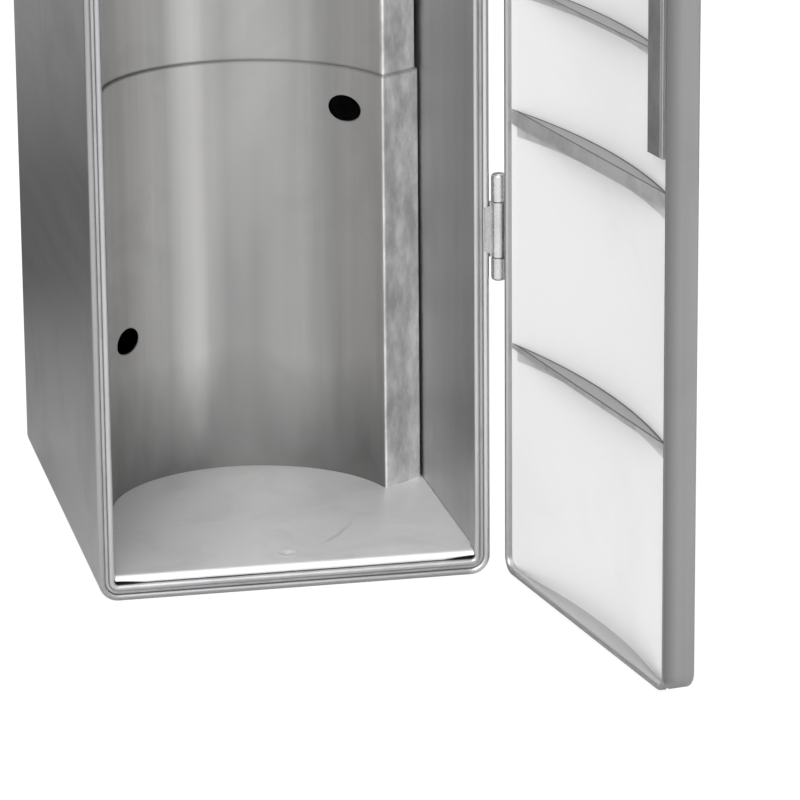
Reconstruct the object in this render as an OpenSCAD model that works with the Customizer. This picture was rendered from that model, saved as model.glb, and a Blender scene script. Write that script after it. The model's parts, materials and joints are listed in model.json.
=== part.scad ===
// Tall narrow wall cabinet for firefighting equipment, in brushed stainless steel.
// A hemmed outer shell holds an inner lining, a half-round cradle in stacked panels and
// a door hung on bullet hinges at the right. X runs to the right, Y to the back and Z up.
// The origin is the centre of the shell's underside.

/* [Cabinet] */
// Outer width of the shell
cab_w = 200; // [190:1:220]
// Outer depth of the shell
cab_d = 268; // [240:1:300]
// Outer height of the shell
cab_h = 725; // [700:1:760]
// Radius of the shell's corners, seen from the front
corner_r = 10; // [9:0.5:14]
// Sheet thickness of the shell, the lining and the back
shell_t = 1.5; // [1:0.1:2]

/* [Front edge] */
// Thickness of the shell's hemmed front edge
hem_t = 3.5; // [3:0.1:4]
// Width of the groove between the two front rings
groove_w = 1.4; // [1:0.1:2]
// Thickness of the lining's hemmed front edge
ring_t = 3.3; // [3:0.1:4]
// Depth of both hems
hem_deep = 10; // [8:0.5:12]

/* [Lining and floor] */
// Distance from the shell's outside to the lining's inner face
lining_inset = 7; // [6.5:0.1:8]
// Depth of the lining behind the front
lining_deep = 182; // [178:1:200]
// Height of the floor plate's top
floor_top = 12.5; // [11.5:0.5:16]
// Radius of the floor plate's rolled nose
nose_r = 2.1; // [1.5:0.1:2.1]

/* [Cradle] */
// Inner radius of the half-round cradle
cradle_r = 74.7; // [70:0.1:76]
// Depth of the cradle's axis behind the front
cradle_y = 97; // [90:1:98]
// Sideways place of the cradle's axis
cradle_x = -3; // [-4:0.5:0]
// Sheet thickness of the cradle
cradle_t = 1.2; // [0.8:0.1:1.2]
// Height of the lower seam between cradle panels
seam_z = 234; // [225:1:250]
// Radius of the access holes for the wall screws
access_r = 7; // [6:0.5:8]
// Sideways distance of the wall screws from the cradle's axis
screw_dx = 58.5; // [55:0.5:60]
// Height of the lower left wall screw
screw_low_z = 93.5; // [60:0.5:120]
// Height of the lower right wall screw
screw_high_z = 212; // [180:1:215]
// Radius of the wall screw holes in the back
screw_r = 4.5; // [3.5:0.5:5]

/* [Door] */
// Angle at which the door stands open
open_angle = 98.7; // [0:0.1:180]
// Gap between the shut door and the shell
door_gap = 1.6; // [1.5:0.1:3]
// Thickness of the door
door_t = 16.6; // [15:0.1:18]
// How much shorter the door is at each end
door_short = 3; // [3:0.1:6]
// Radius of the door's corners, seen from the front
door_r = 9; // [8:0.5:12]
// Sheet thickness of the door pan
pan_t = 1.2; // [1:0.1:1.2]
// Width and depth of the door's hemmed rim
rim = 3.2; // [3:0.1:3.5]
// How far the inner panels bow away from the rim
panel_bow = 9.5; // [6:0.5:9.5]
// Thickness of the inner panels
panel_t = 0.8; // [0.5:0.1:0.8]

/* [Ribs] */
// Heights of the three lower ribs, which repeat upside down above
rib_z = [123, 242.4, 306.6];
// Height of each lower rib's front flange
rib_drop = [2.6, 7.4, 1.4];
// Sheet thickness of the ribs and their flanges
rib_t = 1; // [0.8:0.1:1.2]
// Height of the pale strip below each rib
strip_h = 5.1; // [4:0.1:6]

/* [Hinges] */
// Height of the lower hinge's bottom end
hinge_z = 154; // [130:1:180]
// Radius of the hinge barrel
barrel_r = 3.8; // [3.5:0.1:4]
// Radius of the hinge pin
hinge_pin_r = 1.9; // [1.5:0.1:2]
// Distance of the hinge axis to the right of the shell
hinge_out = 4.4; // [4.3:0.1:5]
// Distance of the hinge axis in front of the shell's front plane
hinge_front = 0.85; // [0.5:0.05:1]

/* [Lock] */
// Distance of the lock's axis from the door's free side
lock_inset = 17; // [16:0.5:18]
// Radius of the lock barrel
lock_r = 6; // [5:0.5:6]
// Length of the cam from the lock's axis
cam_reach = 14; // [13:0.5:14]

/* [Hidden] */
$fn = 96;
fit = 0.05;
play = 0.3;
mid_z = cab_h / 2;
steel = "silver";
bright = "gainsboro";
ring_inset = hem_t + groove_w;
wall_x = cab_w / 2 - lining_inset;
lining_w = cab_w - 2 * (lining_inset - shell_t);
lining_h = cab_h - 2 * (lining_inset - shell_t);
lining_r = corner_r - lining_inset + shell_t;

// Cradle, seen from above with its axis at the origin
flange_angle = 35.4;
cradle_end_y = 17.5;
cradle_leg = 14;
cradle_step = cradle_t + 0.2;
cradle_wall_gap = 1.3;
seam_lap = 8;
flange_u = [cos(flange_angle), sin(flange_angle)];
flange_n = [-sin(flange_angle), cos(flange_angle)];

// Door
door_h = cab_h - 2 * door_short;
bend_r = 2;
panel_half = cab_w / 2 - rim;
panel_y = -door_gap - rim;
bow_r = (panel_half ^ 2 + panel_bow ^ 2) / (2 * panel_bow);
bow_y = panel_y - panel_bow + bow_r;
rib_levels = concat(rib_z, [for (i = [2:-1:0]) cab_h - rib_z[i]]);
rib_drops = concat(rib_drop, [for (i = [2:-1:0]) rib_drop[i]]);
bay_ends = concat([door_short + pan_t], rib_levels, [cab_h - door_short - pan_t]);
tab_rise = 2.6;
tab_w = 6;
lens_half = panel_half - tab_w / 2;
strip_t = 0.6;

// Stiffening channel beside the door's free edge
channel_x = [-93.5, -76.5];
channel_z = 259.3;
channel_t = 1;
channel_y = -door_gap - play;

// Hinges
hinge_x = cab_w / 2 + hinge_out;
hinge_y = -hinge_front;
low_knuckle = 11.7;
mid_knuckle = 28.2;
top_knuckle = 14.2;
hinge_len = low_knuckle + mid_knuckle + top_knuckle + 2 * play;
knuckle_end_r = 2;
pin_cover = 2.5;
hinge_levels = [hinge_z, cab_h - hinge_z - hinge_len];

// Lock, along Y on the shut door
lock_x = -cab_w / 2 + lock_inset;
lock_z = mid_z;
door_face_y = -door_gap - door_t;
lock_lip = 1.8;
lock_end_y = 15;
plug_r = 4;
plug_head_r = 5;
plug_head_t = 1;
cam_y = lock_end_y + play;
cam_t = 2;
cam_w = 11;
cam_slot_y = [13.8, 19];
cam_slot_z = [lock_z - 7, lock_z + 13];
cam_screw_r = 1.5;

// Brings the front plane's frame, used below, to the part's own origin
module placed() translate([0, -cab_d / 2, 0]) children();

// Takes a piece of the shut door to where the open door holds it
module on_door() placed() translate([hinge_x, hinge_y, 0]) rotate([0, 0, open_angle])
    translate([-hinge_x, -hinge_y, 0]) children();

// Stands a shape drawn in X and Z upright, its height becoming depth behind the front
module upright() translate([0, 0, mid_z]) rotate([90, 0, 0]) mirror([0, 0, 1]) children();

// The same for the door, its height becoming distance in front of the lip plane
module outward() translate([0, -door_gap, mid_z]) rotate([90, 0, 0]) children();

// Lays a shape's own Z axis along Y at a place seen from the front, starting at depth y
module along_y(x, y, z) translate([x, y, z]) rotate([-90, 0, 0]) children();

module rounded(w, h, r) {
    square([w, h - 2 * r], center = true);
    square([w - 2 * r, h], center = true);
    for (x = [-1, 1], y = [-1, 1]) translate([x * (w / 2 - r), y * (h / 2 - r)]) circle(r);
}

module rounded_frame(w, h, r, t) difference() {
    rounded(w, h, r);
    rounded(w - 2 * t, h - 2 * t, r - t);
}

// Runs a section round a rounded outline: its x is the inset and its y the depth
module run_round(w, h, r) for (q = [0:3]) rotate([0, 0, 90 * q]) {
    across = q % 2 == 0 ? w : h;
    along = q % 2 == 0 ? h : w;
    translate([across / 2, 0, 0]) rotate([90, 0, 0])
        linear_extrude(along - 2 * r, center = true) mirror([1, 0]) children();
    translate([across / 2 - r, along / 2 - r, 0])
        rotate_extrude(angle = 90) translate([r, 0]) mirror([1, 0]) children();
}

module hem_section(t, deep) {
    translate([t / 2, t / 2]) circle(t / 2);
    translate([0, t / 2]) square([t, deep - t / 2]);
}

// The wall screws' places, seen from the front
module at_wall_screws() for (z = [0, 1]) mirror_height(z) {
    translate([cradle_x - screw_dx, 0, screw_low_z]) children();
    translate([cradle_x + screw_dx, 0, screw_high_z]) children();
}

module mirror_height(on) translate([0, 0, on * cab_h]) mirror([0, 0, on]) children();

module outer_shell() color(steel) placed() upright() {
    run_round(cab_w, cab_h, corner_r) hem_section(hem_t, hem_deep);
    translate([0, 0, hem_deep]) linear_extrude(cab_d - hem_deep)
        rounded_frame(cab_w, cab_h, corner_r, shell_t);
}

module back_panel() color(steel) placed() difference() {
    upright() {
        tray_w = cab_w - 2 * shell_t;
        tray_h = cab_h - 2 * shell_t;
        tray_r = corner_r - shell_t;
        translate([0, 0, cab_d - shell_t]) linear_extrude(shell_t) rounded(tray_w, tray_h, tray_r);
        translate([0, 0, cab_d - 12]) linear_extrude(12 - shell_t)
            rounded_frame(tray_w, tray_h, tray_r, shell_t);
    }
    at_wall_screws() along_y(0, cab_d - 5, 0) cylinder(r = screw_r, h = 10);
}

module lining() color(steel) placed() difference() {
    upright() {
        run_round(cab_w - 2 * ring_inset, cab_h - 2 * ring_inset, corner_r - ring_inset)
            hem_section(ring_t, hem_deep);
        translate([0, 0, hem_deep]) linear_extrude(lining_deep - hem_deep)
            rounded_frame(lining_w, lining_h, lining_r, shell_t);
    }
    translate([-cab_w / 2, cam_slot_y[0], cam_slot_z[0]])
        cube([lining_inset + 1, cam_slot_y[1] - cam_slot_y[0], cam_slot_z[1] - cam_slot_z[0]]);
}

module groove_spacer() color("dimgray") placed() upright()
    run_round(cab_w - 2 * hem_t, cab_h - 2 * hem_t, corner_r - hem_t)
        translate([0, 2]) square([groove_w, hem_deep - 2]);

// A plate with a rolled nose, its underside relieved beside the two front corners
module end_plate() {
    narrow = wall_x - 1.4;
    wide = wall_x - 0.2;
    relief = 15;
    nose_y = 1 + nose_r;
    translate([-narrow, nose_y, floor_top - shell_t]) cube([2 * narrow, hem_deep, shell_t]);
    translate([-wide, hem_deep + play, floor_top - shell_t])
        cube([2 * wide, lining_deep - hem_deep - 2, shell_t]);
    difference() {
        translate([-narrow, nose_y, floor_top - nose_r]) rotate([0, 90, 0])
            cylinder(r = nose_r, h = 2 * narrow);
        for (side = [0, 1]) mirror([side, 0, 0]) translate([0, nose_y + nose_r + 1, 0])
            rotate([90, 0, 0]) linear_extrude(2 * nose_r + 2)
                polygon([[narrow - relief, floor_top - 2 * nose_r], [narrow + 1, floor_top - nose_r],
                         [narrow + 1, floor_top - 2 * nose_r - 1],
                         [narrow - relief, floor_top - 2 * nose_r - 1]]);
    }
}

module battens() for (x = [-60, 60]) translate([x - 7, hem_deep + 2, lining_inset])
    cube([14, lining_deep - hem_deep - 8, floor_top - shell_t - lining_inset]);

module floor_plate() color(bright) placed() end_plate();
module ceiling_plate() color(bright) placed() mirror_height(1) end_plate();
module floor_battens() color(steel) placed() battens();
module ceiling_battens() color(steel) placed() mirror_height(1) battens();

// Cradle sheet seen from above, set back by a step where it passes behind its neighbour
module cradle_section(step) {
    r = cradle_r + step;
    line = [sqrt(cradle_r ^ 2 - cradle_end_y ^ 2), cradle_end_y] + step * flange_n;
    k = -line * flange_u + sqrt((line * flange_u) ^ 2 - line * line + r ^ 2);
    start = line + k * flange_u;
    right = wall_x - cradle_x - cradle_wall_gap - step;
    left = -wall_x - cradle_x + step;
    end = line + (right - line[0]) / flange_u[0] * flange_u;
    difference() {
        circle(r + cradle_t);
        circle(r);
        translate([-2 * r, -2 * r]) square([4 * r, 2 * r + start[1]]);
    }
    root = start + 0.75 * cradle_t * flange_u;
    polygon([root, end, end + cradle_t * flange_n, root + cradle_t * flange_n]);
    translate([right - cradle_t, end[1]]) square([cradle_t, cradle_leg]);
    translate([left, start[1]]) square([-start[0] - left, cradle_t]);
    translate([left, start[1]]) square([cradle_t, cradle_leg]);
}

module cradle(z0, z1, step) color(bright) placed() difference() {
    translate([cradle_x, cradle_y, z0]) linear_extrude(z1 - z0) cradle_section(step);
    at_wall_screws() along_y(0, cradle_y, 0) cylinder(r = access_r, h = 100);
}

module lower_cradle() cradle(floor_top, seam_z, 0);
module middle_cradle() cradle(seam_z - seam_lap, cab_h - seam_z + seam_lap, cradle_step);
module upper_cradle() cradle(cab_h - seam_z, cab_h - floor_top, 0);

// The cabinet's half of a hinge: middle knuckle, saddle on the front edge and side leaf
module hinge_leaf(z) color("lightgray") placed() translate([0, 0, z + low_knuckle + play])
    difference() {
        saddle_x = cab_w / 2 - 2.7;
        taper = 3;
        union() {
            translate([hinge_x, hinge_y, 0]) cylinder(r = barrel_r, h = mid_knuckle);
            rotate([90, 0, 0]) linear_extrude(door_gap - play - 0.1)
                polygon([[saddle_x, taper], [hinge_x, 0], [hinge_x, mid_knuckle],
                         [saddle_x, mid_knuckle - taper]]);
            translate([cab_w / 2, 0, taper]) cube([shell_t, 14, mid_knuckle - 2 * taper]);
            translate([cab_w / 2, 0, 0]) cube([hinge_out, shell_t, mid_knuckle]);
        }
        translate([hinge_x, hinge_y, -1]) cylinder(r = hinge_pin_r + fit, h = mid_knuckle + 2);
    }

module lower_hinge_leaf() hinge_leaf(hinge_levels[0]);
module upper_hinge_leaf() hinge_leaf(hinge_levels[1]);

// A bullet-ended knuckle of the door, its closed end down, with a web to the door's side
module knuckle(len) difference() {
    web_y = [-3.6, -1.2];
    union() {
        rotate_extrude() {
            translate([0, knuckle_end_r]) square([barrel_r, len - knuckle_end_r]);
            square([barrel_r - knuckle_end_r, knuckle_end_r]);
            intersection() {
                translate([barrel_r - knuckle_end_r, knuckle_end_r]) circle(knuckle_end_r);
                square([barrel_r, len]);
            }
        }
        translate([-hinge_out, web_y[0], 1]) cube([hinge_out, web_y[1] - web_y[0], len - 1]);
    }
    translate([0, 0, pin_cover]) cylinder(r = hinge_pin_r, h = len);
}

module hinge_knuckles(z) color("lightgray") on_door() translate([hinge_x, hinge_y, z]) {
    knuckle(low_knuckle);
    translate([0, 0, hinge_len]) mirror([0, 0, 1]) knuckle(top_knuckle);
}

module lower_hinge_knuckles() hinge_knuckles(hinge_levels[0]);
module upper_hinge_knuckles() hinge_knuckles(hinge_levels[1]);

module hinge_pin(z) color("gray") on_door() translate([hinge_x, hinge_y, z + pin_cover])
    cylinder(r = hinge_pin_r, h = hinge_len - 2 * pin_cover);

module lower_hinge_pin() hinge_pin(hinge_levels[0]);
module upper_hinge_pin() hinge_pin(hinge_levels[1]);

// Wall of the door pan with its bend into the face
module pan_wall_section() {
    translate([0, rim]) square([pan_t, door_t - bend_r - rim]);
    intersection() {
        translate([bend_r, door_t - bend_r]) difference() {
            circle(bend_r);
            circle(bend_r - pan_t);
        }
        translate([0, door_t - bend_r]) square([bend_r, bend_r]);
    }
}

module door_pan() color(steel) on_door() difference() {
    outward() {
        run_round(cab_w, door_h, door_r) hem_section(rim, rim);
        run_round(cab_w, door_h, door_r) pan_wall_section();
        translate([0, 0, door_t - pan_t]) linear_extrude(pan_t)
            rounded(cab_w - 2 * bend_r, door_h - 2 * bend_r, door_r - bend_r);
    }
    along_y(lock_x, door_face_y - 1, lock_z) cylinder(r = lock_r + 0.2, h = 5);
}

// Seen from above, the space in front of the bowed panels, from a distance y to their arc
module before_panels(y) intersection() {
    translate([0, bow_y]) circle(bow_r, $fn = 360);
    translate([-lens_half, y - 2 * panel_bow]) square([2 * lens_half, 2 * panel_bow]);
}

module channel_space(grow) translate([channel_x[0] - grow, -2 * door_t, channel_z - grow])
    cube([channel_x[1] - channel_x[0] + 2 * grow, 2 * door_t, cab_h - 2 * channel_z + 2 * grow]);

module door_panel(i) color("white") on_door() difference() {
    translate([0, 0, bay_ends[i - 1]]) linear_extrude(bay_ends[i] - bay_ends[i - 1])
        intersection() {
            translate([0, bow_y]) difference() {
                circle(bow_r + panel_t, $fn = 360);
                circle(bow_r, $fn = 360);
            }
            translate([-panel_half, panel_y - 2 * panel_bow])
                square([2 * panel_half, 2 * panel_bow]);
        }
    along_y(lock_x, door_face_y, lock_z) cylinder(r = lock_r + 0.4, h = door_t);
}

// A lens-shaped plate on the bowed panels with a front flange and a tab at each end
module door_rib(i) color("darkgray") on_door() difference() {
    translate([0, 0, rib_levels[i - 1]]) {
        translate([0, 0, -rib_t]) linear_extrude(rib_t) before_panels(panel_y);
        translate([0, 0, -rib_drops[i - 1]]) linear_extrude(rib_drops[i - 1]) intersection() {
            before_panels(panel_y);
            translate([-lens_half, panel_y - rib_t]) square([2 * lens_half, rib_t]);
        }
        for (side = [0, 1]) mirror([side, 0, 0])
            translate([panel_half - tab_w, panel_y, -rib_drops[i - 1]])
                cube([tab_w, rib_t, rib_drops[i - 1] + tab_rise]);
    }
    channel_space(play);
}

module door_edge_strips() color("lightgray") on_door() difference() {
    for (i = [0:5]) translate([0, 0, rib_levels[i] - rib_drops[i] - strip_h])
        linear_extrude(strip_h) intersection() {
            translate([0, bow_y]) difference() {
                circle(bow_r, $fn = 360);
                circle(bow_r - strip_t, $fn = 360);
            }
            translate([-panel_half + tab_w, panel_y - 2 * panel_bow])
                square([2 * (panel_half - tab_w), 2 * panel_bow]);
        }
    channel_space(play);
}

module lock_channel() color("dimgray") on_door() difference() {
    width = channel_x[1] - channel_x[0];
    translate([0, 0, channel_z]) linear_extrude(cab_h - 2 * channel_z) intersection() {
        before_panels(channel_y);
        difference() {
            translate([channel_x[0], channel_y - door_t]) square([width, door_t]);
            translate([channel_x[0] + channel_t, channel_y - door_t])
                square([width - 2 * channel_t, door_t - channel_t]);
        }
    }
    along_y(lock_x, door_face_y, lock_z) cylinder(r = lock_r + 0.2, h = door_t + 1);
}

module at_lock(y) along_y(lock_x, y, lock_z) children();

module lock_barrel() color("lightgray") on_door() difference() {
    union() {
        at_lock(door_face_y - lock_lip) cylinder(r = 10, h = lock_lip);
        at_lock(door_face_y) cylinder(r = lock_r, h = lock_end_y - door_face_y);
    }
    at_lock(door_face_y - lock_lip - 1) cylinder(r = plug_r + fit, h = 50);
    at_lock(door_face_y - lock_lip - 1) cylinder(r = plug_head_r + fit, h = plug_head_t + 1.2);
}

module lock_nut() color("lightgray") on_door() at_lock(channel_y) difference() {
    rotate([0, 0, 30]) cylinder(r = 8.5, h = 3, $fn = 6);
    translate([0, 0, -1]) cylinder(r = lock_r, h = 5);
}

module lock_plug() color("gold") on_door() {
    front = door_face_y - lock_lip;
    difference() {
        union() {
            at_lock(front) cylinder(r = plug_r, h = cam_y - front);
            at_lock(front) cylinder(r = plug_head_r, h = plug_head_t);
        }
        at_lock(cam_y - 6) cylinder(r = cam_screw_r, h = 7);
        translate([lock_x - 0.6, front - 1, lock_z - 3]) cube([1.2, 9, 6]);
    }
}

module lock_cam() color("silver") on_door() at_lock(cam_y) difference() {
    tip_y = -(cam_reach - cam_w / 2);
    union() {
        cylinder(r = cam_w / 2, h = cam_t);
        translate([0, tip_y, 0]) cylinder(r = cam_w / 2, h = cam_t);
        translate([-cam_w / 2, tip_y, 0]) cube([cam_w, -tip_y, cam_t]);
    }
    translate([0, 0, -1]) cylinder(r = cam_screw_r, h = cam_t + 2);
}

module cam_screw() color("silver") on_door() {
    at_lock(cam_y - 5) cylinder(r = cam_screw_r, h = 5 + cam_t);
    difference() {
        at_lock(cam_y + cam_t) cylinder(r = 3.2, h = 2.2);
        at_lock(cam_y + cam_t + 1) cylinder(r = 1.5, h = 2, $fn = 6);
    }
}

outer_shell();
back_panel();
lining();
groove_spacer();
floor_plate();
floor_battens();
ceiling_plate();
ceiling_battens();
lower_cradle();
middle_cradle();
upper_cradle();
lower_hinge_leaf();
upper_hinge_leaf();
lower_hinge_knuckles();
upper_hinge_knuckles();
lower_hinge_pin();
upper_hinge_pin();
door_pan();
door_edge_strips();
lock_channel();
lock_barrel();
lock_nut();
lock_plug();
lock_cam();
cam_screw();
for (i = [1:7]) door_panel(i);
for (i = [1:6]) door_rib(i);
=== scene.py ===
"""Finished pieces of a tall brushed steel standpipe cabinet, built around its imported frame."""

import json
import math

import bmesh
import bpy
from bpy.props import FloatProperty, FloatVectorProperty, PointerProperty
from mathutils import Matrix, Vector


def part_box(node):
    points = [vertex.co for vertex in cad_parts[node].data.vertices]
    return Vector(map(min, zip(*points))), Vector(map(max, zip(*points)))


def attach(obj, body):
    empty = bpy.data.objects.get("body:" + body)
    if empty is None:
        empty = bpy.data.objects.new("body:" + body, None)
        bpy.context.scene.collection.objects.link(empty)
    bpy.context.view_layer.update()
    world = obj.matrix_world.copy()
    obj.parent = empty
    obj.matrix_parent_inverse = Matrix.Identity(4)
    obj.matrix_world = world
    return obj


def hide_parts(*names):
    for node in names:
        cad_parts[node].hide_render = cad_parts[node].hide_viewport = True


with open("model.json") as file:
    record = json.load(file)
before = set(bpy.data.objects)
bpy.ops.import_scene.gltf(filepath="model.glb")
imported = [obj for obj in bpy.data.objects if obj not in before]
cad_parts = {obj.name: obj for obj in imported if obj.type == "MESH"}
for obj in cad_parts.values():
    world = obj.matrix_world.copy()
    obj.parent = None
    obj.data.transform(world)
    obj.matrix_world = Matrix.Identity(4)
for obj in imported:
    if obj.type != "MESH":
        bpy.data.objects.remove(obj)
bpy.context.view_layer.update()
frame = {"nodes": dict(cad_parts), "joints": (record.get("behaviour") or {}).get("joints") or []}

bl_info = {
    "name": "Standpipe cabinet",
    "version": (1, 0, 0),
    "blender": (4, 5, 0),
    "location": "View3D > Sidebar > Cabinet",
    "description": "Makes the finished pieces of a brushed steel standpipe cabinet "
                   "around its frame",
    "category": "Object",
}

SHELL_LOW, SHELL_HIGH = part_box("outer_shell")
WIDTH = SHELL_HIGH.x - SHELL_LOW.x
HEIGHT = SHELL_HIGH.z - SHELL_LOW.z
DEPTH = SHELL_HIGH.y - SHELL_LOW.y
FRONT = SHELL_LOW.y
MID_Z = (SHELL_LOW.z + SHELL_HIGH.z) / 2
SWING = next(j for j in frame["joints"] if j["name"] == "door_swing")
OPEN_ANGLE = math.radians(-SWING["range_deg"][0])
HINGE = Vector((SWING["pos_m"][0], SWING["pos_m"][1], 0))
# The lock's axis from the door's free edge
LOCK_INSET = 0.017
LOCK_X = -WIDTH / 2 + LOCK_INSET
# The free side of the door's pan, squared to the door, gives the door's own thickness
AWAY = Vector((math.sin(OPEN_ANGLE), -math.cos(OPEN_ANGLE), 0))
DOOR_GAP = 0.0016
PAN_REACH = max((v.co - HINGE).dot(AWAY) for v in frame["nodes"]["door_pan"].data.vertices)
DOOR_THICK = PAN_REACH - DOOR_GAP + (FRONT - HINGE.y)
DOOR_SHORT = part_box("door_pan")[0].z
# Takes a point of the shut door to where the open door holds it
ON_DOOR = (Matrix.Translation(HINGE) @ Matrix.Rotation(OPEN_ANGLE, 4, "Z")
           @ Matrix.Translation(-HINGE))
# Edges sharper than this stay sharp
SHARP = math.radians(38)
# Access holes: sideways from the cradle's axis, and the heights of the low and the high one
HOLE_SIDE, HOLE_LOW, HOLE_HIGH = 0.0585, 0.0935, 0.212
# The cam's slot in the lining's left wall: its depths, its heights from the middle, and its cutter
SLOT_DEEP, SLOT_HIGH, SLOT_CUT = (0.0138, 0.019), (-0.007, 0.013), 0.008
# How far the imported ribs' end tabs stand above their plates, and each flange's drop, from below
TAB_RISE, RIB_DROPS = 0.0026, (0.0026, 0.0074, 0.0014)
# The stiffening channel's sides and ends on the shut door, and the bead at its free side, which
# carries a painted highlight
CHANNEL_X, CHANNEL_Z = (-0.0935, -0.0765), (0.2593, HEIGHT - 0.2593)
CHANNEL_BEAD, CHANNEL_PLAY = 0.0022, 0.0003
# Hinge: barrel radius, bore through the leaf, bore in the knuckles, round end and small chamfer
BARREL, BORE, PIN_BORE, BULLET, CHAMFER = 0.0038, 0.00195, 0.0019, 0.002, 0.0003
# Radii of the lock's hole in the door pan and in the white panel
LOCK_HOLE, PANEL_HOLE = 0.0062, 0.0064


def length(name, default, description):
    """A size in metres for a property group."""
    return FloatProperty(name=name, description=description, default=default, unit="LENGTH",
                         precision=4)


def share(name, default, description):
    """A number from 0 to 1 for a property group."""
    return FloatProperty(name=name, description=description, default=default, min=0, max=1,
                         subtype="FACTOR")


def colour(name, default, description):
    """A linear colour for a property group."""
    return FloatVectorProperty(name=name, description=description, default=default, size=3,
                               min=0, max=1, subtype="COLOR")


class CabinetSizes(bpy.types.PropertyGroup):
    """Sizes of the cabinet's sheet metal"""

    corner: length("Corner radius", 0.010, "Radius of the shell's corners, seen from the front")
    sheet: length("Sheet", 0.0015, "Thickness of the shell and lining sheet")
    hem: length("Shell hem", 0.0035, "Thickness of the shell's hemmed front edge")
    groove: length("Groove", 0.0014, "Width of the groove between the two front rings")
    ring: length("Lining hem", 0.0033, "Thickness of the lining's hemmed front edge")
    hem_deep: length("Hem depth", 0.010, "Depth of both hems behind the front")
    wall_inset: length("Wall inset", 0.007, "Distance from the shell's side to the lining's face")
    lining_deep: length("Lining depth", 0.182, "Depth of the lining behind the front")
    floor_top: length("Floor height", 0.0125, "Height of the floor plate's top")
    nose: length("Nose radius", 0.0021, "Radius of the floor plate's rolled nose")
    dimple: length("Dimple depth", 0.0009, "Depth of the weld dimple near the floor's nose")


class CradleSizes(bpy.types.PropertyGroup):
    """Sizes of the half-round cradle"""

    radius: length("Radius", 0.0747, "Inner radius of the half-round back")
    axis_x: length("Axis sideways", -0.003, "Sideways place of the cradle's axis")
    axis_deep: length("Axis depth", 0.097, "Depth of the cradle's axis behind the front")
    sheet: length("Sheet", 0.0012, "Thickness of the cradle sheet")
    seam: length("Seam height", 0.234, "Height of the lower seam between two panels")
    lap: length("Seam lap", 0.008, "How far the panels lap at a seam")
    hole: length("Hole radius", 0.007, "Radius of the access holes")


class DoorSizes(bpy.types.PropertyGroup):
    """Sizes of the door and its inner panels"""

    gap: length("Gap", DOOR_GAP, "Gap between the shut door and the shell")
    thick: length("Thickness", DOOR_THICK, "Thickness of the door")
    short: length("Shortening", DOOR_SHORT,
                  "How much shorter than the shell the door is at each end")
    corner: length("Corner radius", 0.009, "Radius of the door's corners")
    sheet: length("Sheet", 0.0012, "Thickness of the door pan's sheet")
    rim: length("Rim", 0.0032, "Width and depth of the hemmed rim")
    bow: length("Panel bow", 0.0095, "How far the inner panels bow away from the rim")
    panel: length("Panel thickness", 0.0008, "Thickness of the inner panels")
    rib: length("Rib sheet", 0.001, "Thickness of the ribs and their flanges")
    strip: length("Strip height", 0.0051, "Height of the pale strip below each rib")


class FinishLook(bpy.types.PropertyGroup):
    """Colours of the finishes"""

    shell: colour("Shell steel", (0.27, 0.27, 0.273), "Brushed steel of the shell and door")
    lining: colour("Lining steel", (0.50, 0.50, 0.51), "Brushed steel of the lining")
    cradle: colour("Cradle steel", (0.56, 0.555, 0.55), "Brushed steel of the cradle")
    floor: colour("Floor steel", (0.72, 0.72, 0.72), "Satin steel of the floor plate")
    panel: colour("Panel white", (0.80, 0.805, 0.80), "Matte white of the inner panels")
    rib: colour("Rib steel", (0.70, 0.70, 0.70), "Grey steel of the ribs")
    hinge: colour("Hinge steel", (0.58, 0.58, 0.58), "Polished steel of the hinges")
    dark: colour("Dark metal", (0.42, 0.42, 0.42), "Dark filler in the groove")
    wear: share("Wear", 0.5, "How strongly smudges and scuffs show")


class StageLook(bpy.types.PropertyGroup):
    """Floor, light and camera"""

    lens: FloatProperty(name="Lens", description="Camera lens in millimetres", default=215.39)
    world: share("Surroundings", 0.80, "Brightness of the room around the cabinet")
    floor: share("Floor", 0.85, "How much light the floor throws back")


# ---------------------------------------------------------------- shapes

def arc(cx, cy, radius, start, end, steps):
    """Points on a circle from one angle to another, in degrees, both ends included."""
    angles = [math.radians(start + (end - start) * k / steps) for k in range(steps + 1)]
    return [(cx + radius * math.cos(a), cy + radius * math.sin(a)) for a in angles]


def piece(name, verts, faces):
    """A new mesh object with its faces turned outwards."""
    mesh = bpy.data.meshes.new(name)
    mesh.from_pydata([tuple(v) for v in verts], [], faces)
    work = bmesh.new()
    work.from_mesh(mesh)
    bmesh.ops.remove_doubles(work, verts=work.verts, dist=1e-6)
    bmesh.ops.dissolve_degenerate(work, dist=1e-7, edges=work.edges)
    bmesh.ops.recalc_face_normals(work, faces=work.faces)
    work.to_mesh(mesh)
    work.free()
    made = bpy.data.objects.new(name, mesh)
    bpy.context.scene.collection.objects.link(made)
    return made


def loft(rings, closed=True):
    """Vertices and faces that join rings of points; without closed, the two ends are capped."""
    count, size = len(rings), len(rings[0])
    verts = [p for ring in rings for p in ring]
    faces = []
    for i in range(count if closed else count - 1):
        for j in range(size):
            a, b = i * size, (i + 1) % count * size
            k = (j + 1) % size
            faces.append((a + j, a + k, b + k, b + j))
    if not closed:
        faces += [tuple(range(size)), tuple(range(len(verts) - size, len(verts)))]
    return verts, faces


def sheet_loft(rings):
    """A thin sheet between two rings that go out along one face and back along the other."""
    size = len(rings[0])
    verts, faces = loft(rings, closed=False)
    faces = faces[:-2]
    for level in (0, size):
        faces += [(level + i, level + i + 1, level + size - 2 - i, level + size - 1 - i)
                  for i in range(size // 2 - 1)]
    return verts, faces


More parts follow.
